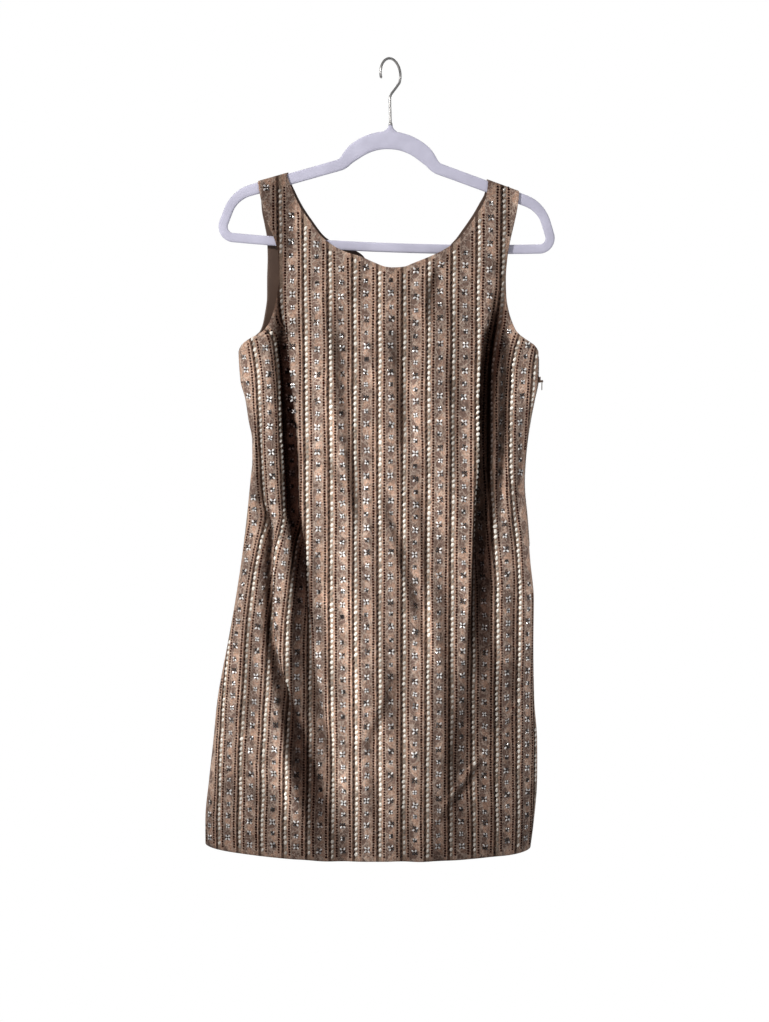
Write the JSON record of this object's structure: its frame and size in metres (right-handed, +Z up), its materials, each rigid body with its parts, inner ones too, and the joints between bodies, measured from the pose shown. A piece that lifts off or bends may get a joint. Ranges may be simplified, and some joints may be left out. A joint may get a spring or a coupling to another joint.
{
  "type": "cocktail dress on a hanger",
  "caption": "Sleeveless scoop-neck shift cocktail dress with beaded stripes, a zip in the side seam, on a slim flocked hanger with a trouser bar and wire hook.",
  "frame": {"origin": "inside top of the hanger's hook, where it hangs on a rail or peg", "axes": "+X towards the wearer's left, -Y the front of the dress, +Z up, the hem at the bottom"},
  "size_m": [0.4829, 0.101, 1.0801],
  "materials": {
    "beaded_net": "net closely embroidered with glass and metal beads over a dark backing",
    "zip_metal": "dark brown enamelled zip",
    "hanger_flock": "lavender-grey velvet flock over a moulded core",
    "hook_wire": "dull grey plated wire"
  },
  "bodies": {
    "dress": {"front_panel": "beaded_net", "back_panel": "beaded_net", "zip_slider": "zip_metal", "hanger_frame": "hanger_flock", "hanger_hook": "hook_wire"},
    "zip_pull": {"zip_pull": "zip_metal"}
  },
  "joints": [
    {"name": "zip_pull_swing", "type": "hinge", "parent": "dress", "child": "zip_pull", "pos_m": [0.2044, 0, -0.417], "axis": [0, -1, 0], "range_deg": [0, 150]}
  ]
}
